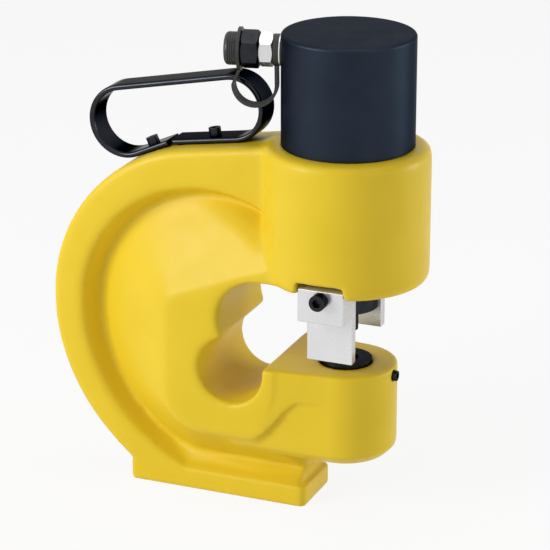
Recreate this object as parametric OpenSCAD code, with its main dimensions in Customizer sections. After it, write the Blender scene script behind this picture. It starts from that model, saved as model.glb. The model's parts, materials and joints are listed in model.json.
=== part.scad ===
// Portable hydraulic hole punch: cast C-frame, spring-return ram, strippers, die and carry handle.
// Millimetres. The origin is the middle of the foot's underside, +X points at the punch and +Z is up.

/* [Frame] */
// Distance from the middle of the foot to the punch axis
axis_x = 102; // [90:1:115]
// Reach from the punch axis back to the frame's back
back_reach = 247.5; // [235:0.5:260]
// Height of the middle of the back's lower sweep
sweep_z = 152; // [146:1:158]
// Radius of the back's upper sweep
upper_r = 140; // [134:1:146]
// Radius of the back's lower sweep
lower_r = 163; // [156:1:170]
// Height of the boss's top over the crown of the upper sweep
crown_drop = 11.5; // [8:0.5:15]
// Rise of the frame's top towards the boss, in degrees
top_rise = 8.5; // [6:0.5:10]
// Width of the rim across the frame
rim_w = 58; // [52:1:64]
// Depth of the rim at the top
rim_top_band = 31; // [26:1:35]
// Depth of the rim at the back
rim_back_band = 26; // [22:1:30]
// Depth of the rim at the bottom
rim_low_band = 21; // [18:1:25]
// Width of the recess's sloping wall
recess_slope = 9; // [6:0.5:12]
// Thickness of the web in the recess
web_t = 18; // [14:1:24]
// Thickness of the raised pad round the throat
pad_t = 96; // [88:1:104]
// Width of the pad behind the throat
pad_band = 29; // [24:1:33]
// Depth of the pad under the throat
pad_floor = 27.5; // [22:0.5:32]
// Lower corner radius of the pad
pad_corner_r = 30; // [22:1:36]
// Upper corner radius of the pad
pad_top_corner_r = 14; // [8:1:22]
// Distance of the pad's upper corner under the boss
pad_top_drop = 18; // [10:1:26]
// Height over the boss's underside to which the pad's top edge rises
pad_rise = 15; // [4:1:22]

/* [Foot] */
// Length of the foot
foot_l = 156; // [140:1:170]
// Width of the foot
foot_w = 58; // [52:1:70]
// Thickness of the foot
foot_t = 17; // [14:0.5:22]
// Corner radius of the foot
foot_corner_r = 6; // [3:0.5:10]
// Height of the blend between foot and web at the back
foot_blend = 20; // [14:1:24]
// Height of that blend under the anvil
foot_blend_end = 12; // [8:1:16]

/* [Throat and anvil] */
// Radius of the throat's lower lobe
low_lobe_r = 27.6; // [24:0.2:30]
// Distance of the lower lobe behind the punch axis
low_lobe_back = 81.5; // [76:0.5:86]
// Height of the lower lobe's middle
low_lobe_z = 117; // [113:0.5:121]
// Radius of the throat's upper lobe
up_lobe_r = 34.3; // [31:0.1:37]
// Distance of the upper lobe behind the punch axis
up_lobe_back = 58; // [54:0.5:62]
// Height of the anvil's top
anvil_top_z = 122.8; // [120:0.2:125]
// Height of the anvil's underside
anvil_low_z = 46; // [40:1:52]
// Radius of the anvil's round tip
anvil_tip_r = 41.5; // [38:0.5:46]
// Height of the anvil's full-width band
anvil_band_h = 25; // [20:1:30]
// Inset of the anvil's root below that band
anvil_inset = 6; // [2:0.5:8]
// Rounding of the anvil's lower edge
anvil_edge = 8; // [4:0.5:10]

/* [Boss and cylinder] */
// Radius of the boss
boss_r = 65.5; // [63:0.5:70]
// Height of the boss's underside
boss_low_z = 194.3; // [193:0.1:196]
// Height of the boss's top
boss_top_z = 303.5; // [300:0.5:308]
// Rounding of the boss's edges
boss_edge_r = 5; // [2:0.5:8]
// Radius of the nose under the boss
nose_r = 38; // [36:0.5:42]
// Depth of the nose
nose_h = 8.3; // [7:0.1:9]
// Radius of the cylinder cap
cap_r = 52.5; // [51.5:0.5:55]
// Height of the cylinder cap above the boss
cap_h = 89; // [86:0.5:94]
// Rounding of the cap's top edge
cap_edge_r = 2.5; // [1:0.5:5]
// Radius of the cap's screwed spigot
spigot_r = 50; // [48:0.5:51]
// Length of the cap's screwed spigot
spigot_l = 41.5; // [36:0.5:46]
// Thickness of the cap's roof
cap_roof = 11; // [10:0.5:14]
// Radius of the cylinder bore
bore_r = 37.5; // [35:0.5:40]

/* [Ram] */
// Stroke of the ram
stroke = 30; // [24:1:31]
// Oil space over the piston when the ram is up
oil_space = 15; // [13:0.5:18]
// Height of the piston
piston_h = 40; // [36:1:44]
// Radius of the rod
rod_r = 20; // [18:0.5:20.5]
// Thickness of the floor that the return spring stands on, nose included
spring_floor_h = 42; // [38:1:46]
// Wall of the guide bush
bush_wall = 3.4; // [2.5:0.1:3.8]
// Height of the rod wiper
wiper_h = 5; // [4:0.5:6]
// Mean radius of the return spring
spring_r = 29; // [27:0.5:31]
// Wire diameter of the return spring
spring_wire = 7; // [5:0.5:7]
// Turns of the return spring
spring_turns = 8; // [6:1:8]
// Width of the piston seal's groove
seal_groove_h = 8; // [6:0.5:9]
// Depth of the piston's grooves
groove_depth = 4; // [3:0.5:5]
// Height of the piston's wear ring
wear_ring_h = 9; // [6:0.5:12]

/* [Punch and die] */
// Radius of the punch
punch_r = 9.6; // [6:0.1:10]
// Height of the punch's tip when the ram is up
punch_tip_z = 150; // [147:0.5:152]
// Radius of the punch's head
punch_head_r = 13.5; // [12:0.5:14.5]
// Height of the punch's head
punch_head_h = 4; // [3:0.5:5]
// Radius of the punch nut
nut_r = 25.8; // [24:0.2:26.5]
// Height of the punch nut
nut_h = 15.7; // [14:0.1:17]
// Thickness of the nut's lip under the punch head
nut_lip = 3; // [2.5:0.5:4]
// Radius of the ram's screwed end
ram_thread_r = 17.5; // [16:0.5:17.5]
// Radius of the die
die_r = 21; // [18:0.5:23]
// Height of the die
die_h = 25; // [22:0.5:28]
// Height of the die above the anvil
die_proud = 2.5; // [1:0.5:4]
// Radius of the die's hole beyond the punch
die_clearance = 0.4; // [0.2:0.05:0.8]
// Height of the die's cutting land
die_land = 6; // [4:0.5:8]
// Widening of the die's hole under the land
die_relief = 1.5; // [1:0.25:2]
// Depth of the groove round the die's waist
die_groove = 2; // [1:0.25:3]
// Radius of the slug hole in the anvil
slug_r = 14; // [12.5:0.5:16]
// Radius of the die's lock screw
lock_screw_r = 4.2; // [3:0.1:5]
// Length of the lock screw outside the anvil
lock_screw_proud = 2.5; // [1:0.5:4]

/* [Strippers] */
// Width of a stripper
stripper_w = 38; // [34:1:42]
// Distance from the punch axis to a stripper's inner face
stripper_in = 28.8; // [28.6:0.1:30]
// Thickness of a stripper's plate
stripper_plate_t = 8.4; // [7:0.2:10]
// Depth of a stripper's block from inner to outer face
stripper_block_t = 28.4; // [26:0.2:30]
// Height of a stripper's block
stripper_block_h = 29; // [27:0.5:30]
// Depth of the slope at the block's top edge
stripper_slope_t = 4; // [2:0.5:5]
// Height of that slope
stripper_slope_h = 2; // [1:0.25:2.5]
// Length of the plate under the block
stripper_plate_l = 39; // [36:0.5:41]
// Height of the front stripper's underside
stripper_low_z = 134; // [132:0.5:136]
// Height of the rear stripper over the front one
stripper_lift = 9; // [5:0.5:10]
// Distance that a stripper can be set higher
stripper_rise = 3; // [2:0.5:4]
// Distance that the rear stripper can be set lower
stripper_fall = 9; // [5:0.5:9]
// Distance of the clamp screw under the block's top
clamp_screw_drop = 9.3; // [9:0.1:12]
// Radius of the clamp screws
clamp_screw_r = 4; // [3:0.5:4]
// Depth of the clamp screws' keyways in the boss
keyway_depth = 2.2; // [1.6:0.2:2.4]

/* [Handle] */
// Width of the handle's strip
handle_w = 24.5; // [20:0.5:28]
// Thickness of the handle's strip
handle_t = 4.6; // [3.6:0.2:6]
// Slope of the strip's left run, in degrees
handle_slope = 24; // [20:1:27]
// Radius of the handle's left end
handle_left_r = 28; // [25:0.5:31]
// Radius of the handle's right end
handle_right_r = 25.5; // [23:0.5:27]
// Length of strip from the left screw to the left bend
handle_left_run = 12.5; // [9:0.5:16]
// Gap between the handle's right end and the cylinder cap
handle_clear = 14; // [11:0.5:17]
// Length of strip from the right screw to the right bend
handle_right_run = 22; // [18:0.5:24]
// Gap between the strip's two ends
handle_split = 4; // [2:0.5:6]
// Radius of the handle screws
handle_screw_r = 3; // [2.5:0.5:4]
// Depth of the handle screws in the frame
handle_screw_depth = 14; // [10:1:18]

/* [Coupler] */
// Turn of the coupler towards the front, in degrees
coupler_turn = 14; // [8:1:16]
// Depth of the coupler's axis under the cap's top
coupler_drop = 16; // [15.5:0.1:17]
// Radius of the adapter's screwed end
adapter_r = 8.3; // [6:0.1:8.5]
// Length of the adapter's screwed end
adapter_thread_l = 10; // [8:0.5:11]
// Radius of the adapter's shoulder
shoulder_r = 12.5; // [11:0.5:13]
// Thickness of the adapter's shoulder
shoulder_h = 1; // [0.8:0.1:2]
// Length of the adapter's neck
neck_l = 4.7; // [4:0.1:6]
// Distance across the adapter's flats
adapter_flats = 24; // [20:0.5:26]
// Length of the adapter's hexagon
adapter_hex_l = 11; // [9:0.5:14]
// Radius of the oil passage
passage_r = 3.5; // [2.5:0.5:4]
// Thickness of the sealing washer
washer_h = 1.5; // [1:0.25:2.5]
// Distance across the coupler body's flats
body_flats = 27; // [25:0.5:29]
// Length of the coupler body's hexagon
body_hex_l = 14; // [13.5:0.5:17]
// Radius of the coupler's spout
spout_r = 10.5; // [9:0.25:11]
// Length of the coupler's spout
spout_l = 11; // [9:0.5:12]
// Travel of the coupler's valve
poppet_travel = 3; // [2:0.5:3.5]
// Radius of the dust cap
dust_cap_r = 13; // [12.5:0.5:14]
// Length of the dust cap
dust_cap_l = 13.1; // [12.9:0.1:16]
// Rounding of the dust cap's end
dust_cap_edge_r = 3.5; // [2:0.5:5]
// Number of ribs along the dust cap
dust_cap_ribs = 4; // [2:1:5]
// Width of the tether's strap
tether_w = 10; // [6:0.5:10.5]
// Thickness of the tether's strap
tether_t = 2.4; // [1.5:0.1:3]
// Radius of the tether's loop
tether_loop_r = 17; // [14:0.5:18]
// Drop of the tether's loop under the coupler's axis
tether_drop = 27; // [25:0.5:30]
// Distance of the strap's middle in front of the coupler's axis
tether_front = 2.5; // [1.5:0.5:4]

/* [Hidden] */
$fn = 96;
hull_fn = 64;
bend_steps = 32;

// Clearances
thread_gap = 0.1;
run_gap = 0.05;
seat_gap = 0.3;
slide_gap = 0.3;
cut = 1;
slice = 0.1;

// Colours
paint_yellow = "#e3b81c";
cap_black = "#2b3038";
oxide_black = "#26262a";
rubber_black = "#1d1d1f";
bright_steel = "#c9ccd0";
bronze = "#b08142";
backup_white = "#e8e6dc";
wear_brown = "#8a5a2b";

// Frame levels and outline
back_x = axis_x - back_reach;
upper_x = back_x + upper_r;
upper_z = boss_top_z - crown_drop - upper_r;
lower_x = back_x + lower_r;
rim_half = rim_w / 2;
web_half = web_t / 2;
pad_half = pad_t / 2;
recess_upper_r = upper_r - (rim_top_band + rim_back_band) / 2;
recess_lower_r = lower_r - rim_low_band;
recess_z = upper_z + upper_r - rim_top_band - recess_upper_r;
recess_back_x = back_x + rim_back_band;
top_start_x = upper_x - upper_r * sin(top_rise);
top_start_z = upper_z + upper_r * cos(top_rise);
top_end_x = axis_x - spigot_r;
web_end_x = foot_l / 2 - foot_corner_r;
recess_end_x = web_end_x + cut;
low_lobe_x = axis_x - low_lobe_back;
up_lobe_x = axis_x - up_lobe_back;
up_lobe_z = boss_low_z - up_lobe_r;
pad_back_x = low_lobe_x - low_lobe_r - pad_band;
pad_low_z = low_lobe_z - low_lobe_r - pad_floor;
pad_top_z = boss_low_z - pad_top_drop;
anvil_back_x = low_lobe_x;
anvil_root_x = low_lobe_x + low_lobe_r;
anvil_band_z = anvil_top_z - anvil_band_h;
pad_end_share = 0.67;
pad_end_x = low_lobe_x + low_lobe_r * pad_end_share;
gusset_end_share = 0.5;
gusset_end_x = axis_x - anvil_tip_r * gusset_end_share;
gusset_steps = 16;
boss_edge_x = axis_x - sqrt(boss_r * boss_r - pad_half * pad_half);
nose_low_z = boss_low_z - nose_h;
cap_top_z = boss_top_z + cap_h;
cap_low_edge_r = 0.5;

// Cylinder and ram levels
spigot_low_z = boss_top_z - spigot_l;
cap_seat_relief = 4;
counterbore_low_z = spigot_low_z - cap_seat_relief;
spring_floor_z = nose_low_z + spring_floor_h;
spring_bore_r = bore_r + slide_gap;
end_pitch_share = 1.5;
roof_z = cap_top_z - cap_roof;
piston_top_z = roof_z - oil_space;
piston_low_z = piston_top_z - piston_h;
piston_r = bore_r - run_gap;
bush_r = rod_r + bush_wall;
bush_low_z = nose_low_z + wiper_h;
wiper_lip_gap = 0.2;
wiper_seat = 1;
wiper_r = bush_r + wiper_seat;
seal_top_share = 0.3;
wear_top_share = 0.72;
seal_groove_z = piston_top_z - piston_h * seal_top_share;
wear_groove_z = piston_top_z - piston_h * wear_top_share;
groove_r = piston_r - groove_depth;
seal_share = 0.6;
seal_h = seal_groove_h * seal_share;
backup_h = seal_groove_h - seal_h - 2 * run_gap;
stop_gap = 1;
stop_r = spring_r - spring_wire / 2 - stop_gap;
stop_low_z = spring_floor_z + stroke + seat_gap;

// Punch, nut and die levels
nut_top_z = nose_low_z - seat_gap;
nut_low_z = nut_top_z - nut_h;
nut_edge_r = 1.3;
head_low_z = nut_low_z + nut_lip;
ram_low_z = head_low_z + punch_head_h;
die_top_z = anvil_top_z + die_proud;
die_low_z = die_top_z - die_h;
die_hole_r = punch_r + die_clearance;
die_waist_share = 0.6;
die_waist_z = die_low_z + die_h * die_waist_share;
die_waist_h = 2 * lock_screw_r + 2 * slide_gap;
lock_screw_in_x = axis_x + die_r - die_groove + slide_gap;
lock_screw_out_x = axis_x + anvil_tip_r + lock_screw_proud;

// Socket screw proportions, as shares of the thread radius
screw_head_r_share = 1.64;
screw_head_h_share = 2;
socket_r_share = 0.92;
socket_depth_share = 1.1;
set_socket_r_share = 0.6;

// Stripper levels
stripper_block_z = stripper_low_z + stripper_plate_l;
stripper_top_z = stripper_block_z + stripper_block_h;
clamp_screw_z = stripper_top_z - clamp_screw_drop;
notch_in = stripper_in - slide_gap;
notch_half_w = stripper_w / 2 + slide_gap;
notch_top_z = stripper_top_z + stripper_rise + slide_gap;
clamp_tip = notch_in - keyway_depth + slide_gap;
keyway_half_w = clamp_screw_r + slide_gap;
keyway_low_z = clamp_screw_z + stripper_lift - stripper_fall - keyway_half_w;

// Handle path: two sloping runs on the frame's top, two round ends and a straight grip
run_lift = handle_t / 2 + seat_gap;
run_r = upper_r + run_lift;
left_screw_x = upper_x - run_r * sin(handle_slope);
left_screw_z = upper_z + run_r * cos(handle_slope);
left_bend_x = left_screw_x - handle_left_run * cos(handle_slope) - handle_left_r * sin(handle_slope);
left_bend_z = left_screw_z - handle_left_run * sin(handle_slope) + handle_left_r * cos(handle_slope);
right_bend_x = axis_x - cap_r - handle_clear - handle_right_r - handle_t / 2;
right_start_x = upper_x - run_r * sin(top_rise);
right_start_z = upper_z + run_r * cos(top_rise);
right_run_x = right_bend_x + handle_right_r * sin(top_rise);
right_run_z = right_start_z + (right_run_x - right_start_x) * tan(top_rise);
right_bend_z = right_run_z + handle_right_r * cos(top_rise);
right_screw_x = right_run_x - handle_right_run * cos(top_rise);
right_screw_z = right_run_z - handle_right_run * sin(top_rise);
bend_dx = right_bend_x - left_bend_x;
bend_dz = right_bend_z - left_bend_z;
bend_gap = sqrt(bend_dx * bend_dx + bend_dz * bend_dz);
grip_slope = atan2(bend_dz, bend_dx) - asin((handle_left_r - handle_right_r) / bend_gap);
half_break = (handle_slope - top_rise) / 2;
break_slope = (handle_slope + top_rise) / 2;

// Coupler stations, measured along its axis from the punch axis
turned_share = 0.96;
turned_slope = 30;
coupler_z = cap_top_z - coupler_drop;
spot_depth = 1.7;
spot_r = shoulder_r + slide_gap;
washer_u = cap_r - spot_depth;
shoulder_u = washer_u + washer_h;
neck_u = shoulder_u + shoulder_h;
adapter_hex_u = neck_u + neck_l;
body_u = adapter_hex_u + adapter_hex_l;
spout_u = body_u + body_hex_l;
spout_end_u = spout_u + spout_l;
nipple_l = body_hex_l - 2 * poppet_travel;
nipple_end_u = body_u + nipple_l;
valve_wall = 3.5;
valve_r = spout_r - valve_wall;
valve_lip = 3;
valve_seat_u = spout_end_u - valve_lip;
valve_mouth_r = passage_r + run_gap;
poppet_l = 4;
poppet_u = valve_seat_u - poppet_l;
adapter_end_u = washer_u - adapter_thread_l;
neck_r = adapter_r;
eye_h = neck_l - 2 * seat_gap;
eye_u = neck_u + seat_gap;
eye_wall = 4;
collar_l = 2.7;
cap_eye_h = collar_l - seat_gap;
collar_wall = 1.4;
collar_r = spout_r + slide_gap + collar_wall;
cap_eye_wall = 4.5;
rib_depth = 0.7;
rib_share = 0.6;
dust_cap_u = spout_u + seat_gap;
skirt_u = dust_cap_u + collar_l;
dust_cap_end_u = dust_cap_u + dust_cap_l;
rib_pitch = (dust_cap_end_u - dust_cap_edge_r - skirt_u) / dust_cap_ribs;
dust_cap_floor_u = spout_end_u + seat_gap;
valve_spring_wire = 0.8;
valve_spring_turns = 4;
loop_u = (eye_u + eye_h / 2 + dust_cap_u + cap_eye_h / 2) / 2 + tether_t;

// Bodies of revolution and sweeps
// A round bar with rounded top and bottom edges, standing on z = 0
module round_bar(r, h, low_edge, top_edge) {
    rotate_extrude() {
        square([r - low_edge, low_edge]);
        translate([0, low_edge]) square([r, h - low_edge - top_edge]);
        translate([0, h - top_edge]) square([r - top_edge, top_edge]);
        translate([r - low_edge, low_edge]) circle(low_edge);
        translate([r - top_edge, h - top_edge]) circle(top_edge);
    }
}

// A ring between two radii, standing on z = 0
module ring(r_in, r_out, h) {
    rotate_extrude() translate([r_in, 0]) square([r_out - r_in, h]);
}

// A socket head screw along -Z with its head standing on z = 0
module socket_screw(r, l) {
    head_r = r * screw_head_r_share;
    head_h = r * screw_head_h_share;
    socket_depth = r * socket_depth_share;
    difference() {
        union() {
            cylinder(r = head_r, h = head_h);
            translate([0, 0, -l]) cylinder(r = r, h = l);
        }
        translate([0, 0, head_h - socket_depth])
            cylinder(r = r * socket_r_share, h = socket_depth + cut, $fn = 6);
    }
}

// A coil spring along +Z: one tube swept round a helix whose end turns lie flat
function helix_rise(t, turns) = t < 1 ? 0 : t > turns - 1 ? turns - 2 : t - 1;
function helix_ring(t, r, wire, z0, pitch, turns, sides) = [
    for (s = [0 : sides - 1])
        let (a = 360 * t, q = 360 * s / sides, reach = r + wire / 2 * cos(q))
        [reach * cos(a), reach * sin(a), z0 + pitch * helix_rise(t, turns) + wire / 2 * sin(q)]
];
module coil_spring(r, wire, z0, h, turns, rings, sides) {
    end_pitch = wire * end_pitch_share;
    pitch = (h - wire - 2 * end_pitch) / (turns - 2);
    steps = turns * rings;
    points = [
        for (i = [0 : steps])
            let (t = i / rings, flat = min(t, 1) + max(t - turns + 1, 0))
            each helix_ring(t, r, wire, z0 + wire / 2 + end_pitch * flat, pitch, turns, sides)
    ];
    walls = [
        for (i = [0 : steps - 1], s = [0 : sides - 1])
            let (a = i * sides + s, b = i * sides + (s + 1) % sides)
            each [[a, a + sides, b], [b, a + sides, b + sides]]
    ];
    near_end = [for (s = [1 : sides - 2]) [0, s, s + 1]];
    far = steps * sides;
    far_end = [for (s = [1 : sides - 2]) [far, far + s + 1, far + s]];
    polyhedron(points = points, faces = concat(walls, near_end, far_end), convexity = turns);
}

// Extrudes an X-Z outline across the frame, centred on its middle plane
module across(t) {
    rotate([90, 0, 0]) linear_extrude(t, center = true) children();
}

// Side outline of the frame's rim and web
module frame_side() {
    intersection() {
        translate([upper_x, upper_z]) circle(upper_r);
        translate([back_x - cut, upper_z]) square([upper_r + cut, upper_r + cut]);
    }
    if (upper_z > sweep_z) translate([back_x, sweep_z]) square([upper_r, upper_z - sweep_z]);
    polygon([
        [top_start_x, top_start_z], [top_start_x, sweep_z], [top_end_x, sweep_z],
        [top_end_x, top_start_z + (top_end_x - top_start_x) * tan(top_rise)]
    ]);
    intersection() {
        translate([lower_x, sweep_z]) circle(lower_r);
        translate([back_x - cut, 0]) square([web_end_x - back_x + cut, sweep_z + cut]);
    }
}

// Outline of the recess inside the rim, drawn in by an inset
module recess_side(inset) {
    upper = recess_upper_r - inset;
    lower = recess_lower_r - inset;
    intersection() {
        translate([recess_back_x + recess_upper_r, recess_z]) circle(upper, $fn = hull_fn);
        translate([back_x, recess_z]) square([recess_end_x - back_x, upper_r]);
    }
    intersection() {
        translate([recess_back_x + recess_lower_r, recess_z]) circle(lower, $fn = hull_fn);
        translate([back_x, foot_t + inset])
            square([recess_end_x - back_x, recess_z - foot_t - inset + slice]);
    }
}

// One side's recess, with sloping walls down to the web
module recess() {
    wall_depth = rim_half - web_half;
    hull() {
        translate([0, -web_half - slice / 2, 0]) across(slice) recess_side(recess_slope);
        translate([0, -rim_half - cut, 0]) across(slice) recess_side(-recess_slope * cut / wall_depth);
    }
}

// Raised pad round the throat, which falls away to the web
module throat_pad() {
    end_x = boss_edge_x + boss_edge_r;
    end_z = boss_low_z + pad_rise;
    hull() {
        across(web_t) recess_side(recess_slope);
        across(pad_t) {
            translate([pad_back_x + pad_corner_r, pad_low_z + pad_corner_r])
                circle(pad_corner_r, $fn = hull_fn);
            translate([pad_back_x + pad_top_corner_r, pad_top_z - pad_top_corner_r])
                circle(pad_top_corner_r, $fn = hull_fn);
            polygon([
                [anvil_back_x, pad_low_z], [pad_end_x, pad_low_z], [boss_edge_x, anvil_band_z],
                [end_x, boss_low_z], [end_x, end_z]
            ]);
        }
    }
}

// Plan of the anvil: a round tip that widens to the pad, each drawn in by its own inset
module anvil_plan(tip_inset, root_inset) {
    tip = anvil_tip_r - tip_inset;
    root = pad_half - root_inset;
    translate([axis_x, 0]) circle(tip);
    polygon([
        [axis_x, -tip], [axis_x, tip], [anvil_root_x, root], [anvil_back_x, root],
        [anvil_back_x, -root], [anvil_root_x, -root]
    ]);
}

// Side outline of the gusset that sweeps from the pad's underside up to the anvil's band
module gusset_side() {
    rise = anvil_band_z - pad_low_z;
    polygon(concat(
        [
            for (i = [0 : gusset_steps])
                let (t = i / gusset_steps)
                [pad_end_x + (gusset_end_x - pad_end_x) * t, pad_low_z + rise * t * t * (3 - 2 * t)]
        ],
        [
            [gusset_end_x, anvil_band_z + cut], [pad_end_x - cut, anvil_band_z + cut],
            [pad_end_x - cut, pad_low_z]
        ]
    ));
}

// Anvil with a full-width band at the top, a gusset behind it and a rounded lower edge
module anvil() {
    edge_z = anvil_low_z + anvil_edge;
    translate([0, 0, anvil_band_z]) linear_extrude(anvil_band_h) anvil_plan(0, 0);
    intersection() {
        translate([0, 0, pad_low_z]) linear_extrude(anvil_top_z - pad_low_z) anvil_plan(0, 0);
        across(pad_t) gusset_side();
    }
    translate([0, 0, edge_z]) linear_extrude(anvil_band_z - edge_z) anvil_plan(0, anvil_inset);
    hull() {
        translate([0, 0, edge_z]) linear_extrude(slice) anvil_plan(0, anvil_inset);
        translate([0, 0, anvil_low_z]) linear_extrude(slice) anvil_plan(anvil_edge, anvil_inset + anvil_edge);
    }
}

// A slice of the blend between foot and web, at its height
module foot_blend_slice(h) {
    half = foot_w / 2 - foot_corner_r;
    rotate([90, 0, 90]) linear_extrude(slice, center = true)
        polygon([[-half, foot_t], [half, foot_t], [web_half, foot_t + h], [-web_half, foot_t + h]]);
}

// Flat foot with round corners, and the falling blend that carries the web
module foot() {
    inner_l = foot_l - 2 * foot_corner_r;
    inner_w = foot_w - 2 * foot_corner_r;
    linear_extrude(foot_t) {
        square([foot_l, inner_w], center = true);
        square([inner_l, foot_w], center = true);
        for (x = [-inner_l / 2, inner_l / 2], y = [-inner_w / 2, inner_w / 2])
            translate([x, y]) circle(foot_corner_r);
    }
    hull() {
        translate([-inner_l / 2, 0, 0]) foot_blend_slice(foot_blend);
        translate([inner_l / 2, 0, 0]) foot_blend_slice(foot_blend_end);
    }
}

// Side outline of the throat, open towards the front
module throat_side() {
    translate([low_lobe_x, low_lobe_z]) circle(low_lobe_r);
    translate([up_lobe_x, up_lobe_z]) circle(up_lobe_r);
    translate([up_lobe_x, anvil_top_z]) square([2 * boss_r + up_lobe_back, boss_low_z - anvil_top_z]);
}

// The rear stripper's notch in the boss and nose, lifted with it, and its keyway from a given height up
module stripper_notch(lift, low_z) {
    translate([axis_x - notch_half_w, notch_in, nose_low_z - cut])
        cube([2 * notch_half_w, boss_r, notch_top_z + lift - nose_low_z + cut]);
    top_z = clamp_screw_z + lift + stripper_rise + keyway_half_w;
    translate([axis_x - keyway_half_w, notch_in - keyway_depth, low_z])
        cube([2 * keyway_half_w, keyway_depth + cut, top_z - low_z]);
}

// Bores down the boss for the cap, the spring, the bush and the wiper
module boss_bores() {
    translate([axis_x, 0, 0]) {
        translate([0, 0, counterbore_low_z])
            cylinder(r = spigot_r + thread_gap, h = boss_top_z - counterbore_low_z + cut);
        translate([0, 0, spring_floor_z])
            cylinder(r = spring_bore_r, h = counterbore_low_z - spring_floor_z + cut);
        translate([0, 0, nose_low_z - cut]) cylinder(r = bush_r + run_gap, h = spring_floor_h + 2 * cut);
        translate([0, 0, nose_low_z - cut]) cylinder(r = wiper_r + run_gap, h = wiper_h + cut);
    }
}

// Die seat, slug hole and lock screw hole in the anvil
module anvil_bores() {
    translate([axis_x, 0, die_low_z]) cylinder(r = die_r + thread_gap, h = die_h + cut);
    translate([axis_x, 0, anvil_low_z - cut]) cylinder(r = slug_r, h = die_low_z - anvil_low_z + 2 * cut);
    translate([axis_x, 0, die_waist_z]) rotate([0, 90, 0])
        cylinder(r = lock_screw_r + thread_gap, h = anvil_tip_r + cut);
}

// Places children at a handle screw, with +Z out of the frame
module at_handle_screws() {
    translate([left_screw_x, 0, left_screw_z]) rotate([0, -handle_slope, 0]) children();
    translate([right_screw_x, 0, right_screw_z]) rotate([0, -top_rise, 0]) children();
}

module c_frame() {
    color(paint_yellow) difference() {
        union() {
            difference() {
                across(rim_w) frame_side();
                recess();
                mirror([0, 1, 0]) recess();
            }
            throat_pad();
            anvil();
            foot();
            translate([axis_x, 0, boss_low_z])
                round_bar(boss_r, boss_top_z - boss_low_z, boss_edge_r, boss_edge_r);
            translate([axis_x, 0, nose_low_z]) cylinder(r = nose_r, h = nose_h + cut);
        }
        difference() {
            across(2 * boss_r) throat_side();
            translate([axis_x, 0, nose_low_z]) cylinder(r = nose_r, h = nose_h + cut);
        }
        boss_bores();
        anvil_bores();
        stripper_notch(stripper_lift, keyway_low_z);
        mirror([0, 1, 0]) stripper_notch(0, nose_low_z - cut);
        at_handle_screws() translate([0, 0, -handle_screw_depth - run_lift])
            cylinder(r = handle_screw_r + thread_gap, h = handle_screw_depth + run_lift);
    }
}

module cylinder_cap() {
    color(cap_black) difference() {
        union() {
            translate([axis_x, 0, boss_top_z]) round_bar(cap_r, cap_h, cap_low_edge_r, cap_edge_r);
            translate([axis_x, 0, spigot_low_z]) cylinder(r = spigot_r, h = spigot_l + cut);
        }
        translate([axis_x, 0, spigot_low_z - cut]) cylinder(r = bore_r, h = roof_z - spigot_low_z + cut);
        at_coupler() {
            translate([0, 0, bore_r - cut]) cylinder(r = passage_r, h = cap_r);
            translate([0, 0, adapter_end_u - slide_gap]) cylinder(r = adapter_r + thread_gap, h = cap_r);
            translate([0, 0, washer_u]) cylinder(r = spot_r, h = cap_r);
        }
    }
}

// Piston and rod in one piece, with a sleeve that ends the stroke and a screwed end for the punch nut
module ram() {
    color(bright_steel) translate([axis_x, 0, 0]) difference() {
        union() {
            translate([0, 0, piston_low_z]) cylinder(r = piston_r, h = piston_h);
            translate([0, 0, stop_low_z]) cylinder(r = stop_r, h = piston_low_z - stop_low_z + cut);
            translate([0, 0, nut_top_z + seat_gap]) cylinder(r = rod_r, h = piston_low_z - nut_top_z);
            translate([0, 0, ram_low_z]) cylinder(r = ram_thread_r, h = nut_top_z - ram_low_z + cut);
        }
        translate([0, 0, seal_groove_z - seal_groove_h]) ring(groove_r, bore_r + cut, seal_groove_h);
        translate([0, 0, wear_groove_z - wear_ring_h]) ring(groove_r, bore_r + cut, wear_ring_h);
    }
}

module piston_seal() {
    color(rubber_black) translate([axis_x, 0, seal_groove_z - seal_h - run_gap])
        ring(groove_r + run_gap, piston_r, seal_h);
}

module piston_backup_ring() {
    color(backup_white) translate([axis_x, 0, seal_groove_z - seal_groove_h])
        ring(groove_r + run_gap, piston_r, backup_h);
}

module piston_wear_ring() {
    color(wear_brown) translate([axis_x, 0, wear_groove_z - wear_ring_h + run_gap])
        ring(groove_r + run_gap, piston_r, wear_ring_h - 2 * run_gap);
}

module return_spring() {
    color(bright_steel) translate([axis_x, 0, 0])
        coil_spring(
            spring_r, spring_wire, spring_floor_z, piston_low_z - spring_floor_z - run_gap,
            spring_turns, 16, 8
        );
}

module ram_guide_bush() {
    color(bronze) translate([axis_x, 0, bush_low_z])
        ring(rod_r + run_gap, bush_r, spring_floor_z - bush_low_z);
}

module rod_wiper() {
    color(rubber_black) translate([axis_x, 0, nose_low_z + run_gap])
        ring(rod_r + wiper_lip_gap, wiper_r, wiper_h - 2 * run_gap);
}

// Nut with a lip under the punch's head
module punch_nut() {
    color(oxide_black) translate([axis_x, 0, 0]) difference() {
        translate([0, 0, nut_low_z]) round_bar(nut_r, nut_h, nut_edge_r, nut_edge_r);
        translate([0, 0, nut_low_z - cut]) cylinder(r = punch_r + thread_gap, h = nut_h + 2 * cut);
        translate([0, 0, head_low_z]) cylinder(r = punch_head_r + thread_gap, h = nut_h);
        translate([0, 0, ram_low_z]) cylinder(r = ram_thread_r + thread_gap, h = nut_h);
    }
}

module punch() {
    color(oxide_black) translate([axis_x, 0, 0]) {
        translate([0, 0, punch_tip_z]) cylinder(r = punch_r, h = head_low_z - punch_tip_z + punch_head_h);
        translate([0, 0, head_low_z]) cylinder(r = punch_head_r, h = punch_head_h);
    }
}

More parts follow.
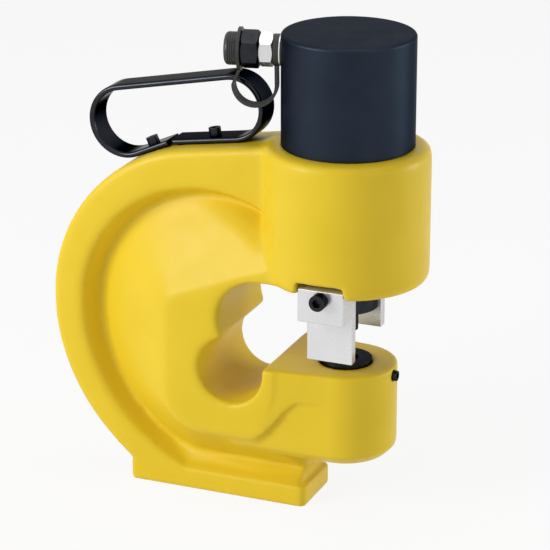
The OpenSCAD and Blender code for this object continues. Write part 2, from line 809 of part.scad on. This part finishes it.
// Die button with a waist groove for its lock screw
module die() {
    color(oxide_black) translate([axis_x, 0, 0]) difference() {
        translate([0, 0, die_low_z]) cylinder(r = die_r, h = die_h);
        translate([0, 0, die_low_z - cut]) cylinder(r = die_hole_r, h = die_h + 2 * cut);
        translate([0, 0, die_low_z - cut])
            cylinder(r = die_hole_r + die_relief, h = die_h - die_land + cut);
        translate([0, 0, die_waist_z - die_waist_h / 2]) ring(die_r - die_groove, die_r + cut, die_waist_h);
    }
}

module die_lock_screw() {
    l = lock_screw_out_x - lock_screw_in_x;
    socket_depth = lock_screw_r * socket_depth_share;
    color(oxide_black) translate([lock_screw_in_x, 0, die_waist_z]) rotate([0, 90, 0]) difference() {
        cylinder(r = lock_screw_r, h = l);
        translate([0, 0, l - socket_depth])
            cylinder(r = lock_screw_r * set_socket_r_share, h = socket_depth + cut, $fn = 6);
    }
}

// Stripper on the rear side at the front one's height: a block with a plate hanging from its inner side
module stripper() {
    plate_out = stripper_in + stripper_plate_t;
    block_out = stripper_in + stripper_block_t;
    difference() {
        translate([axis_x, 0, 0]) rotate([90, 0, 90]) linear_extrude(stripper_w, center = true)
            polygon([
                [stripper_in, stripper_low_z], [plate_out, stripper_low_z], [plate_out, stripper_block_z],
                [block_out, stripper_block_z], [block_out, stripper_top_z - stripper_slope_h],
                [block_out - stripper_slope_t, stripper_top_z], [stripper_in, stripper_top_z]
            ]);
        translate([axis_x, stripper_in - cut, clamp_screw_z]) rotate([-90, 0, 0])
            cylinder(r = clamp_screw_r + thread_gap, h = stripper_block_t + 2 * cut);
    }
}

// Clamp screw of the rear stripper, whose tip rides in the boss's keyway
module clamp_screw() {
    outer = stripper_in + stripper_block_t;
    translate([axis_x, outer, clamp_screw_z]) rotate([-90, 0, 0])
        socket_screw(clamp_screw_r, outer - clamp_tip);
}

module stripper_front() {
    color(bright_steel) mirror([0, 1, 0]) stripper();
}

module stripper_front_screw() {
    color(oxide_black) mirror([0, 1, 0]) clamp_screw();
}

module stripper_rear() {
    color(bright_steel) translate([0, 0, stripper_lift]) stripper();
}

module stripper_rear_screw() {
    color(oxide_black) translate([0, 0, stripper_lift]) clamp_screw();
}

// Points round a bend's middle, from one angle to another
function bend_points(x, z, r, start, end) = [
    for (i = [0 : bend_steps])
        let (a = start + (end - start) * i / bend_steps)
        [x + r * cos(a), z + r * sin(a)]
];

// Side outline of the handle's loop, its middle line moved out by a distance
module handle_side(out) {
    break_r = (run_r - out) / cos(half_break);
    polygon(concat(
        bend_points(left_bend_x, left_bend_z, handle_left_r + out, 90 + grip_slope, 270 + handle_slope),
        [[upper_x - break_r * sin(break_slope), upper_z + break_r * cos(break_slope)]],
        bend_points(right_bend_x, right_bend_z, handle_right_r + out, 270 + top_rise, 450 + grip_slope)
    ));
}

// Flat strip bent into a loop, with a split between its two ends on the frame
module carry_handle() {
    color(rubber_black) difference() {
        across(handle_w) difference() {
            handle_side(handle_t / 2);
            handle_side(-handle_t / 2);
            translate([upper_x - run_r * sin(break_slope), upper_z + run_r * cos(break_slope)])
                rotate(break_slope) square([handle_split, 2 * handle_t], center = true);
        }
        at_handle_screws() cylinder(r = handle_screw_r + slide_gap, h = 2 * handle_t, center = true);
    }
}

module handle_screws() {
    color(oxide_black) at_handle_screws() translate([0, 0, handle_t / 2])
        socket_screw(handle_screw_r, handle_t + seat_gap + handle_screw_depth - cut);
}

// Places children on the coupler's axis, with +Z pointing away from the cylinder
module at_coupler() {
    translate([axis_x, 0, coupler_z]) rotate([0, 0, 180 + coupler_turn]) rotate([0, 90, 0]) children();
}

// A hexagon bar along +Z whose corners are turned off at both ends
module hexagon(flats, l) {
    corner_r = flats / sqrt(3);
    turned_r = flats / 2 * turned_share;
    over_r = corner_r + cut;
    turned_h = (over_r - turned_r) * tan(turned_slope);
    intersection() {
        cylinder(r = corner_r, h = l, $fn = 6);
        rotate_extrude() polygon([
            [0, 0], [turned_r, 0], [over_r, turned_h], [over_r, l - turned_h], [turned_r, l], [0, l]
        ]);
    }
}

module coupler_adapter() {
    color(bright_steel) at_coupler() difference() {
        union() {
            translate([0, 0, adapter_end_u]) cylinder(r = adapter_r, h = shoulder_u - adapter_end_u);
            translate([0, 0, shoulder_u]) cylinder(r = shoulder_r, h = shoulder_h);
            translate([0, 0, shoulder_u]) cylinder(r = neck_r, h = adapter_hex_u - shoulder_u);
            translate([0, 0, adapter_hex_u]) hexagon(adapter_flats, adapter_hex_l);
            translate([0, 0, body_u]) cylinder(r = valve_r, h = nipple_l);
        }
        translate([0, 0, adapter_end_u - cut])
            cylinder(r = passage_r, h = nipple_end_u - adapter_end_u + 2 * cut);
    }
}

module coupler_seal() {
    color(rubber_black) at_coupler() translate([0, 0, washer_u])
        ring(adapter_r + thread_gap, shoulder_r, washer_h);
}

// Hexagon body with a spout that holds the valve
module coupler_body() {
    color(oxide_black) at_coupler() difference() {
        union() {
            translate([0, 0, body_u]) hexagon(body_flats, body_hex_l);
            translate([0, 0, spout_u]) cylinder(r = spout_r, h = spout_l);
        }
        translate([0, 0, body_u - cut]) cylinder(r = valve_r + thread_gap, h = valve_seat_u - body_u + cut);
        translate([0, 0, valve_seat_u - cut]) cylinder(r = valve_mouth_r, h = valve_lip + 2 * cut);
    }
}

module coupler_poppet() {
    color(bright_steel) at_coupler() {
        translate([0, 0, poppet_u]) cylinder(r = valve_r, h = poppet_l - run_gap);
        translate([0, 0, valve_seat_u - poppet_l / 2])
            cylinder(r = passage_r, h = poppet_l / 2 + valve_lip);
    }
}

module coupler_spring() {
    color(bright_steel) at_coupler()
        coil_spring(
            passage_r + valve_spring_wire, valve_spring_wire, nipple_end_u + run_gap,
            poppet_u - nipple_end_u - 2 * run_gap, valve_spring_turns, 12, 6
        );
}

// Cap over the spout with ribs round it, a round end and a collar for the tether's eye
module dust_cap() {
    color(rubber_black) at_coupler() difference() {
        union() {
            translate([0, 0, dust_cap_u]) cylinder(r = collar_r, h = collar_l + cut);
            translate([0, 0, skirt_u])
                round_bar(dust_cap_r, dust_cap_end_u - skirt_u, cap_low_edge_r, dust_cap_edge_r);
        }
        for (i = [1 : dust_cap_ribs]) translate([0, 0, skirt_u + rib_pitch * (i - rib_share / 2)])
            ring(dust_cap_r - rib_depth, dust_cap_r + cut, rib_pitch * (1 - rib_share));
        translate([0, 0, dust_cap_u - cut])
            cylinder(r = spout_r + slide_gap, h = dust_cap_floor_u - dust_cap_u + cut);
    }
}

// Flat strap in a hanging loop, with an eye round the neck and one round the dust cap's collar
module dust_cap_tether() {
    neck_eye_r = neck_r + slide_gap;
    cap_eye_r = collar_r + slide_gap;
    neck_leg_u = eye_u + eye_h / 2;
    cap_leg_u = dust_cap_u + cap_eye_h / 2;
    color(rubber_black) at_coupler() {
        translate([0, 0, eye_u]) ring(neck_eye_r, neck_eye_r + eye_wall, eye_h);
        translate([0, 0, dust_cap_u]) ring(cap_eye_r, cap_eye_r + cap_eye_wall, cap_eye_h);
        translate([0, tether_front, 0]) rotate([90, 0, 0]) linear_extrude(tether_w, center = true) {
            intersection() {
                translate([tether_drop, loop_u]) difference() {
                    circle(tether_loop_r + tether_t / 2);
                    circle(tether_loop_r - tether_t / 2);
                }
                translate([tether_drop, loop_u - 2 * tether_loop_r]) square(4 * tether_loop_r);
            }
            strap_leg(neck_eye_r + eye_wall / 2, neck_leg_u, tether_drop, loop_u - tether_loop_r);
            strap_leg(cap_eye_r + cap_eye_wall / 2, cap_leg_u, tether_drop, loop_u + tether_loop_r);
        }
    }
}

// A straight leg of the tether between two points of its outline
module strap_leg(x0, u0, x1, u1) {
    half = tether_t / 2;
    polygon([[x0, u0 - half], [x0, u0 + half], [x1, u1 + half], [x1, u1 - half]]);
}

c_frame();
cylinder_cap();
ram();
piston_seal();
piston_backup_ring();
piston_wear_ring();
return_spring();
ram_guide_bush();
rod_wiper();
punch_nut();
punch();
die();
die_lock_screw();
stripper_front();
stripper_front_screw();
stripper_rear();
stripper_rear_screw();
carry_handle();
handle_screws();
coupler_adapter();
coupler_seal();
coupler_body();
coupler_poppet();
coupler_spring();
dust_cap();
dust_cap_tether();
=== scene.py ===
"""Looks of a portable hydraulic hole punch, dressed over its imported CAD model. Metres, +Z up."""

import json
import math
from typing import NamedTuple

import bmesh
import bpy
import numpy as np
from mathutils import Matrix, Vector


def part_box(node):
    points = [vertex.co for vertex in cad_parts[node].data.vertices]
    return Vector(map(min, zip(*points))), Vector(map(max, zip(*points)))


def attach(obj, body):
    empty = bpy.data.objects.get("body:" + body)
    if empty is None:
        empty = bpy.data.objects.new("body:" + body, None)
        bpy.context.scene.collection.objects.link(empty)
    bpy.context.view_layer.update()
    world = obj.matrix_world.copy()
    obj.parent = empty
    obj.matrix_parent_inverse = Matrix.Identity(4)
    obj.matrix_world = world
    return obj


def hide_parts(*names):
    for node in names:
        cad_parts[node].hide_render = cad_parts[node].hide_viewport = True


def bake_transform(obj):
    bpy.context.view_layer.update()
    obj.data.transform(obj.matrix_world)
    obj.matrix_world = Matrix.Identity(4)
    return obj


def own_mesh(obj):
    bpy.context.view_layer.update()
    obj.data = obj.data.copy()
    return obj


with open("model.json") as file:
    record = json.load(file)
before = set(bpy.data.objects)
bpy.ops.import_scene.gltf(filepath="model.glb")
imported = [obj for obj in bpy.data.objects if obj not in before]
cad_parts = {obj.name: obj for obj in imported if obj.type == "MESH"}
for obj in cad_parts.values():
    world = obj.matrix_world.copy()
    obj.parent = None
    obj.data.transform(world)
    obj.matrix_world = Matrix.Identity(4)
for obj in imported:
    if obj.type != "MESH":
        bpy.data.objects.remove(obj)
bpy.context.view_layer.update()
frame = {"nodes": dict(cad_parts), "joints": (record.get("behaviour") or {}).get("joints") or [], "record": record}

RECORD = frame["record"]
BODY_OF = {node: body for body, nodes in RECORD["behaviour"]["bodies"].items() for node in nodes}
SLOT_OF = {part["node"]: part["material_slot"] for part in RECORD["subparts"]}
JOINTS = {joint["name"]: joint for joint in frame["joints"]}
MM = 0.001
WHITE = (1.0, 1.0, 1.0, 1.0)

# Camera of the photograph
CAMERA_AT = Vector((0.8004, -1.8287, 0.9057))
CAMERA_TARGET = Vector((0.04044, 0.0, 0.18613))
CAMERA_LENS_MM = 172.1
SENSOR_MM = 36.0

# Casting: size of its voxels, rounds of smoothing, and how strongly each zone is smoothed
CAST_VOXEL = 1.4 * MM
CAST_ROUNDS = 45
CAST_PULL = 0.45
ANVIL_PULL = 0.08
MACHINED_PULL = 0.035
BORE_PULL = 0.02

# Casting: height of the foot's crisp edges, lengths over which the zones fade, and the share of one where it starts
FOOT_EDGE_H = 26 * MM
ZONE_FADE = 8 * MM
ANVIL_FADE = 45 * MM
FADE_START = 0.5

# Notches for the strippers: the gap round a block, and how far from a corner the walls are squared up
RUN_GAP = 0.6 * MM
CORNER_REACH = 5 * MM

# Broken edges of the smaller pieces: their widths, steps and profile
FINE_EDGE = 0.35 * MM
TETHER_EDGE = 0.6 * MM
BROKEN_STEPS = 2
BROKEN_PROFILE = 0.6

# Rounded edges of the strippers and the handle: their radii, steps and profile, and the least straight run that counts
PLATE_EDGE = 0.8 * MM
PLATE_STEPS = 3
PLATE_RUN = 3 * MM
HANDLE_EDGE = 2.0 * MM
HANDLE_STEPS = 5
ROUND_PROFILE = 0.5

# Meshes: from what angle an edge is sharp, up to what angle faces are one, and how close points are one
SHARP_ANGLE = math.radians(32)
FLAT_ANGLE = math.radians(0.6)
MERGE_DISTANCE = 0.002 * MM

# Studio: half the floor's side, how far the floor glows where it is seen, and the even light all round
FLOOR_HALF = 6.0
FLOOR_GLOW = 0.88
WORLD_FILL = 0.27

# The part of a noise pattern that spans a colour or roughness range
PATTERN_LOW = 0.3
PATTERN_HIGH = 0.7

# Pieces whose edges are broken, and inner pieces that keep their CAD mesh
EDGED = (
    "cylinder_cap",
    "punch_nut",
    "punch",
    "die",
    "die_lock_screw",
    "stripper_front_screw",
    "stripper_rear_screw",
    "handle_screws",
    "coupler_adapter",
    "coupler_body",
    "dust_cap",
)
PLAIN = (
    "ram",
    "piston_seal",
    "piston_backup_ring",
    "piston_wear_ring",
    "ram_guide_bush",
    "rod_wiper",
    "coupler_seal",
    "coupler_poppet",
)


class Lamp(NamedTuple):
    """A square soft box: its place, its side and its power in watts."""

    at: tuple
    size: float
    power: float


LAMPS = {
    "key_light": Lamp(at=(-1.35, -1.5, 0.95), size=1.1, power=33.0),
    "fill_light": Lamp(at=(1.9, -0.9, 0.7), size=1.2, power=4.0),
    "rim_light": Lamp(at=(1.75, 0.9, 0.42), size=0.8, power=12.0),
    "top_light": Lamp(at=(0.1, 0.2, 2.2), size=1.5, power=8.0),
}


class Noise(NamedTuple):
    """A noise pattern: its cells in a metre, its levels of detail, and its stretch along the axes."""

    cells: float
    detail: float = 3.0
    stretch: tuple | None = None


class Look(NamedTuple):
    """A surface: its two linear colours, its roughness and its relief, each with a pattern, and fixed shader values."""

    name: str
    colours: tuple
    colour_noise: Noise
    roughness: tuple | None = None
    roughness_noise: Noise | None = None
    relief: float = 0.0
    relief_noise: Noise | None = None
    fixed: dict | None = None


def dark_metal(tint):
    """Shader values of a black metal that stays dark at its rims."""
    return {"Metallic": 1.0, "Specular Tint": (tint, tint, tint, 1.0)}


LOOKS = {
    "frame_paint": Look(
        name="yellow_enamel",
        colours=((0.77, 0.55, 0.022), (0.82, 0.585, 0.028)),
        colour_noise=Noise(cells=16.0),
        roughness=(0.36, 0.46),
        roughness_noise=Noise(cells=60.0),
        relief=0.12 * MM,
        relief_noise=Noise(cells=150.0, detail=2.0),
        fixed={"Specular IOR Level": 0.2, "Coat Weight": 0.06, "Coat Roughness": 0.2},
    ),
    "cap_black": Look(
        name="satin_blue_black",
        colours=((0.018, 0.0245, 0.0365), (0.0215, 0.029, 0.0435)),
        colour_noise=Noise(cells=40.0),
        roughness=(0.4, 0.46),
        roughness_noise=Noise(cells=70.0),
        relief=0.015 * MM,
        relief_noise=Noise(cells=900.0, detail=2.0),
        fixed=dark_metal(0.45),
    ),
    "bright_steel": Look(
        name="ground_steel",
        colours=((0.69, 0.693, 0.7), (0.76, 0.763, 0.77)),
        colour_noise=Noise(cells=25.0, detail=2.0),
        roughness=(0.2, 0.28),
        roughness_noise=Noise(cells=300.0, detail=2.0, stretch=(1.0, 1.0, 6.0)),
        fixed={"Metallic": 0.75, "Specular Tint": (0.6, 0.58, 0.55, 1.0)},
    ),
    "oxide_steel": Look(
        name="black_oxide_steel",
        colours=((0.022, 0.024, 0.028), (0.034, 0.036, 0.041)),
        colour_noise=Noise(cells=90.0),
        roughness=(0.24, 0.34),
        roughness_noise=Noise(cells=200.0),
        relief=0.012 * MM,
        relief_noise=Noise(cells=700.0),
        fixed=dark_metal(0.45),
    ),
    "bush_bronze": Look(
        name="turned_bronze",
        colours=((0.46, 0.27, 0.09), (0.55, 0.33, 0.12)),
        colour_noise=Noise(cells=90.0),
        roughness=(0.25, 0.4),
        roughness_noise=Noise(cells=200.0),
        fixed={"Metallic": 1.0},
    ),
    "handle_black": Look(
        name="black_coating",
        colours=((0.028, 0.03, 0.035), (0.034, 0.036, 0.042)),
        colour_noise=Noise(cells=50.0),
        roughness=(0.14, 0.19),
        roughness_noise=Noise(cells=120.0),
        relief=0.01 * MM,
        relief_noise=Noise(cells=400.0),
        fixed=dark_metal(0.3),
    ),
    "black_rubber": Look(
        name="black_rubber",
        colours=((0.012, 0.012, 0.011), (0.02, 0.02, 0.018)),
        colour_noise=Noise(cells=90.0),
        roughness=(0.45, 0.6),
        roughness_noise=Noise(cells=150.0),
        relief=0.03 * MM,
        relief_noise=Noise(cells=800.0),
    ),
    "cap_plastic": Look(
        name="moulded_black",
        colours=((0.01, 0.01, 0.011), (0.016, 0.016, 0.017)),
        colour_noise=Noise(cells=80.0),
        roughness=(0.35, 0.5),
        roughness_noise=Noise(cells=150.0),
        relief=0.02 * MM,
        relief_noise=Noise(cells=900.0),
    ),
    "seal_plastic": Look(
        name="seal_plastic",
        colours=((0.45, 0.36, 0.25), (0.54, 0.44, 0.31)),
        colour_noise=Noise(cells=90.0),
        roughness=(0.4, 0.55),
        roughness_noise=Noise(cells=200.0),
    ),
}
FLOOR_LOOK = Look(
    name="pale_floor",
    colours=((0.86, 0.86, 0.86), (0.89, 0.89, 0.89)),
    colour_noise=Noise(cells=3.0),
    fixed={"Roughness": 0.9, "Specular IOR Level": 0.1},
)


class Surface:
    """A material's node tree, built from a look."""

    def __init__(self, look):
        self.material = bpy.data.materials.new(look.name)
        self.material.use_nodes = True
        self.tree = self.material.node_tree
        self.shader = self.tree.nodes["Principled BSDF"]
        self.place = self.add("ShaderNodeTexCoord").outputs["Object"]
        sockets = self.shader.inputs
        for socket, value in (look.fixed or {}).items():
            sockets[socket].default_value = value
        self.join(self.colours(self.noise(look.colour_noise), *look.colours), sockets["Base Color"])
        if look.roughness:
            self.join(self.spread(self.noise(look.roughness_noise), *look.roughness), sockets["Roughness"])
        if look.relief:
            self.join(self.bump(self.noise(look.relief_noise), look.relief), sockets["Normal"])

    def add(self, kind):
        return self.tree.nodes.new(kind)

    def join(self, source, target):
        self.tree.links.new(source, target)

    def noise(self, pattern):
        node = self.add("ShaderNodeTexNoise")
        node.inputs["Scale"].default_value = pattern.cells
        node.inputs["Detail"].default_value = pattern.detail
        place = self.place
        if pattern.stretch:
            mapping = self.add("ShaderNodeMapping")
            mapping.inputs["Scale"].default_value = pattern.stretch
            self.join(place, mapping.inputs["Vector"])
            place = mapping.outputs["Vector"]
        self.join(place, node.inputs["Vector"])
        return node.outputs["Fac"]

    def spread(self, source, low, high):
        """The pattern's middle range mapped to low and high."""
        node = self.add("ShaderNodeMapRange")
        node.inputs["From Min"].default_value = PATTERN_LOW
        node.inputs["From Max"].default_value = PATTERN_HIGH
        node.inputs["To Min"].default_value = low
        node.inputs["To Max"].default_value = high
        self.join(source, node.inputs["Value"])
        return node.outputs["Result"]

    def colours(self, source, low, high):
        """The pattern's middle range mapped to two linear colours."""
        node = self.add("ShaderNodeValToRGB")
        first, last = node.color_ramp.elements
        first.position = PATTERN_LOW
        first.color = (*low, 1.0)
        last.position = PATTERN_HIGH
        last.color = (*high, 1.0)
        self.join(source, node.inputs["Fac"])
        return node.outputs["Color"]

    def bump(self, source, height):
        """Relief of so many metres from the pattern."""
        node = self.add("ShaderNodeBump")
        node.inputs["Strength"].default_value = 1.0
        node.inputs["Distance"].default_value = height
        self.join(source, node.inputs["Height"])
        return node.outputs["Normal"]


MATERIALS = {slot: Surface(look).material for slot, look in LOOKS.items()}


def link(obj):
    """Adds an object to the scene."""
    bpy.context.scene.collection.objects.link(obj)
    return obj


def paint(obj, slot):
    obj.data.materials.clear()
    obj.data.materials.append(MATERIALS[slot])
    for polygon in obj.data.polygons:
        polygon.material_index = 0


def axis_of(node):
    """Middle of a CAD node's box, through which its axis runs."""
    low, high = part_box(node)
    return (low + high) / 2


def node_mesh(node):
    """A closed bmesh of a CAD node, with its coplanar triangles joined into faces."""
    mesh = bmesh.new()
    mesh.from_mesh(frame["nodes"][node].data)
    bmesh.ops.remove_doubles(mesh, verts=mesh.verts, dist=MERGE_DISTANCE)
    bmesh.ops.dissolve_limit(mesh, angle_limit=FLAT_ANGLE, verts=mesh.verts, edges=mesh.edges)
    return mesh


def sharp_edges(mesh):
    return [e for e in mesh.edges if len(e.link_faces) == 2 and e.calc_face_angle(0.0) > SHARP_ANGLE]


def edged_mesh(node, width):
    """A CAD node's mesh with its sharp edges broken to a width, or to less where edges lie close."""
    mesh = node_mesh(node)
    bmesh.ops.bevel(
        mesh,
        geom=sharp_edges(mesh),
        offset=width,
        segments=BROKEN_STEPS,
        profile=BROKEN_PROFILE,
        affect="EDGES",
        clamp_overlap=True,
    )
    return mesh


def round_edges(mesh, edges, radius, steps):
    """Rounds the given edges of a bmesh in full."""
    bmesh.ops.bevel(
        mesh,
        geom=edges,
        offset=radius,
        segments=steps,
        profile=ROUND_PROFILE,
        affect="EDGES",
        clamp_overlap=False,
    )


def handle_mesh():
    """The carry handle's mesh, with the long edges of its strip rounded."""
    mesh = node_mesh("carry_handle")
    sides = [corner.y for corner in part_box("carry_handle")]

    def on_a_side(edge):
        return any(all(abs(vertex.co.y - side) < FINE_EDGE for vertex in edge.verts) for side in sides)

    round_edges(mesh, [edge for edge in sharp_edges(mesh) if on_a_side(edge)], HANDLE_EDGE, HANDLE_STEPS)
    return mesh


def stripper_mesh(node):
    """A stripper block's mesh, with its straight edges rounded."""
    mesh = node_mesh(node)
    straight = [edge for edge in sharp_edges(mesh) if edge.calc_length() > PLATE_RUN]
    round_edges(mesh, straight, PLATE_EDGE, PLATE_STEPS)
    return mesh


def stand_for(obj, node):
    """Paints an object with a CAD node's look and hides the node, so that the object stands in its place."""
    slot = SLOT_OF[node]
    paint(obj, slot)
    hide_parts(node)


def dressed(node, mesh, name):
    """An object from a bmesh, shaded smooth but for its sharp edges, that stands for a CAD node."""
    data = bpy.data.meshes.new(name)
    for face in mesh.faces:
        face.smooth = True
    for edge in mesh.edges:
        edge.smooth = edge.calc_face_angle(0.0) < SHARP_ANGLE
    mesh.to_mesh(data)
    mesh.free()
    obj = link(bpy.data.objects.new(name, data))
    obj.modifiers.new("weighted_normals", "WEIGHTED_NORMAL").keep_sharp = True
    stand_for(obj, node)
    return obj


def riding_piece(node, mesh):
    """A piece that stands for a CAD node and rides with its body."""
    obj = dressed(node, mesh, node + "_finish")
    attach(obj, BODY_OF[node])


def smoothed(points, edges, pull):
    """Points drawn towards the mean of their neighbours, each by its own pull."""
    total = len(points)
    near = np.concatenate([edges[:, 0], edges[:, 1]])
    far = np.concatenate([edges[:, 1], edges[:, 0]])
    count = np.bincount(near, minlength=total)[:, None]
    for _ in range(CAST_ROUNDS):
        mean = np.stack([np.bincount(near, points[far, k], total) for k in range(3)], axis=1) / count
        points = points + pull[:, None] * (mean - points)
    return points


def casting_pull(points):
    """How strongly each point of the casting is smoothed: most in the cast web, least in the bores."""
    axis = axis_of("die")
    cap_low, cap_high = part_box("cylinder_cap")
    die_low, die_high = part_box("die")
    head_reach = (cap_high.x - cap_low.x) / 2
    die_width = die_high.x - die_low.x
    height = points[:, 2]
    from_axis = np.hypot(points[:, 0] - axis.x, points[:, 1] - axis.y)
    cast = np.clip((from_axis - head_reach) / ZONE_FADE, 0.0, 1.0)
    cast = cast * np.clip(height / FOOT_EDGE_H - FADE_START, 0.0, 1.0)
    pull = MACHINED_PULL + (CAST_PULL - MACHINED_PULL) * cast
    root = np.clip((from_axis - die_width) / ANVIL_FADE - FADE_START, 0.0, 1.0)
    on_anvil = (height < die_high.z) & (height > FOOT_EDGE_H)
    pull[on_anvil] = ANVIL_PULL + (pull[on_anvil] - ANVIL_PULL) * root[on_anvil]
    in_head = (from_axis < head_reach) & (height > die_high.z)
    in_seat = from_axis < die_width / 2 + CAST_VOXEL
    pull[in_head | in_seat] = BORE_PULL
    return pull


def keep_clear(points, node, joint):
    """Pushes the casting's points out of the room that a stripper slides in, onto its notch's square walls."""
    low, high = (np.array(corner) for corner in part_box(node))
    low -= RUN_GAP
    high += RUN_GAP
    high[2] += JOINTS[joint]["range_m"][1]
    core_low, core_high = low.copy(), high - CORNER_REACH
    core_low[0] += CORNER_REACH
    if high[1] < axis_of("die").y:
        low[1] = core_low[1] = points[:, 1].min() - RUN_GAP
    else:
        core_low[1] += CORNER_REACH
        high[1] = core_high[1] = points[:, 1].max() + RUN_GAP
    inside = np.all((points > low) & (points < high), axis=1)
    core = np.clip(points[inside], core_low, core_high)
    out = points[inside] - core
    depth = np.maximum(np.abs(out).max(axis=1, keepdims=True), MERGE_DISTANCE)
    points[inside] = core + out * (CORNER_REACH / depth)


def remeshed(node):
    """A CAD node's mesh rebuilt from even voxels."""
    data = bpy.data.meshes.new("casting_source")
    mesh = node_mesh(node)
    mesh.to_mesh(data)
    mesh.free()
    source = link(bpy.data.objects.new("casting_source", data))
    remesh = source.modifiers.new("voxels", "REMESH")
    remesh.mode = "VOXEL"
    remesh.voxel_size = CAST_VOXEL
    graph = bpy.context.evaluated_depsgraph_get()
    result = bpy.data.meshes.new_from_object(source.evaluated_get(graph))
    bpy.data.objects.remove(source)
    return result


def casting():
    """The frame's casting: its CAD shape with the soft edges and fillets of a painted casting."""
    data = remeshed("c_frame")
    points = np.empty(len(data.vertices) * 3)
    data.vertices.foreach_get("co", points)
    points = points.reshape(-1, 3)
    edges = np.empty(len(data.edges) * 2, dtype=np.int64)
    data.edges.foreach_get("vertices", edges)
    points = smoothed(points, edges.reshape(-1, 2), casting_pull(points))
    for side in ("front", "rear"):
        keep_clear(points, f"stripper_{side}", f"stripper_{side}_height")
    data.vertices.foreach_set("co", points.ravel())
    data.polygons.foreach_set("use_smooth", np.ones(len(data.polygons), dtype=bool))
    data.update()
    data.name = "frame_casting"
    obj = link(bpy.data.objects.new("frame_casting", data))
    stand_for(obj, "c_frame")
    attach(obj, BODY_OF["c_frame"])


def tether():
    """The dust cap's strap between the coupler and the cap, with its place baked into its mesh."""
    obj = dressed("dust_cap_tether", edged_mesh("dust_cap_tether", TETHER_EDGE), "dust_cap_strap")
    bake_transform(obj)


def spring(node, name):
    """A spring that rides with its body, on a mesh of its own."""
    obj = dressed(node, node_mesh(node), name)
    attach(obj, BODY_OF[node])
    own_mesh(obj)


def seen_rays(tree):
    """A mask that is 1 for the rays that show the surroundings: camera, glossy and transmission rays."""
    rays = tree.nodes.new("ShaderNodeLightPath")
    mask = rays.outputs["Is Camera Ray"]
    for kind in ("Is Glossy Ray", "Is Transmission Ray"):
        either = tree.nodes.new("ShaderNodeMath")
        either.operation = "MAXIMUM"
        tree.links.new(mask, either.inputs[0])
        tree.links.new(rays.outputs[kind], either.inputs[1])
        mask = either.outputs[0]
    return mask


def studio_floor():
    """Pale floor that keeps the object's shadow under a near-white ground."""
    data = bpy.data.meshes.new("floor")
    corners = [(x * FLOOR_HALF, y * FLOOR_HALF, 0.0) for x, y in ((-1, -1), (1, -1), (1, 1), (-1, 1))]
    data.from_pydata(corners, [], [(0, 1, 2, 3)])
    obj = link(bpy.data.objects.new("floor", data))
    surface = Surface(FLOOR_LOOK)
    glow = surface.add("ShaderNodeEmission")
    mix = surface.add("ShaderNodeMixShader")
    share = surface.add("ShaderNodeMath")
    share.operation = "MULTIPLY"
    share.inputs[1].default_value = FLOOR_GLOW
    surface.join(seen_rays(surface.tree), share.inputs[0])
    surface.join(share.outputs[0], mix.inputs["Fac"])
    surface.join(surface.shader.outputs["BSDF"], mix.inputs[1])
    surface.join(glow.outputs["Emission"], mix.inputs[2])
    surface.join(mix.outputs["Shader"], surface.tree.nodes["Material Output"].inputs["Surface"])
    obj.data.materials.append(surface.material)


def studio_world():
    """Even pale surroundings, white where they are seen or mirrored."""
    world = bpy.data.worlds.new("studio")
    bpy.context.scene.world = world
    world.use_nodes = True
    tree = world.node_tree
    fill = tree.nodes["Background"]
    fill.inputs["Color"].default_value = WHITE
    fill.inputs["Strength"].default_value = WORLD_FILL
    seen = tree.nodes.new("ShaderNodeBackground")
    seen.inputs["Color"].default_value = WHITE
    mix = tree.nodes.new("ShaderNodeMixShader")
    tree.links.new(seen_rays(tree), mix.inputs["Fac"])
    tree.links.new(fill.outputs["Background"], mix.inputs[1])
    tree.links.new(seen.outputs["Background"], mix.inputs[2])
    tree.links.new(mix.outputs["Shader"], tree.nodes["World Output"].inputs["Surface"])


def aim(obj, at):
    """Puts a lamp or camera at a place, facing the middle of the picture."""
    obj.location = at
    obj.rotation_euler = (CAMERA_TARGET - Vector(at)).to_track_quat("-Z", "Y").to_euler()


def soft_box(name, lamp):
    """A square area lamp that faces the object."""
    data = bpy.data.lights.new(name, "AREA")
    data.size = lamp.size
    data.energy = lamp.power
    aim(link(bpy.data.objects.new(name, data)), lamp.at)


def photo_camera():
    """The camera that stands where the photograph was taken."""
    data = bpy.data.cameras.new("photo_camera")
    data.lens = CAMERA_LENS_MM
    data.sensor_width = SENSOR_MM
    obj = link(bpy.data.objects.new("photo_camera", data))
    aim(obj, CAMERA_AT)
    bpy.context.scene.camera = obj


casting()
for node_name in EDGED:
    riding_piece(node_name, edged_mesh(node_name, FINE_EDGE))
riding_piece("carry_handle", handle_mesh())
for node_name in ("stripper_front", "stripper_rear"):
    riding_piece(node_name, stripper_mesh(node_name))
tether()
spring("return_spring", "return_coil")
spring("coupler_spring", "valve_coil")
for node_name in PLAIN:
    paint(frame["nodes"][node_name], SLOT_OF[node_name])

studio_floor()
studio_world()
for lamp_name, soft_lamp in LAMPS.items():
    soft_box(lamp_name, soft_lamp)
photo_camera()
bpy.context.scene.view_settings.view_transform = "Standard"
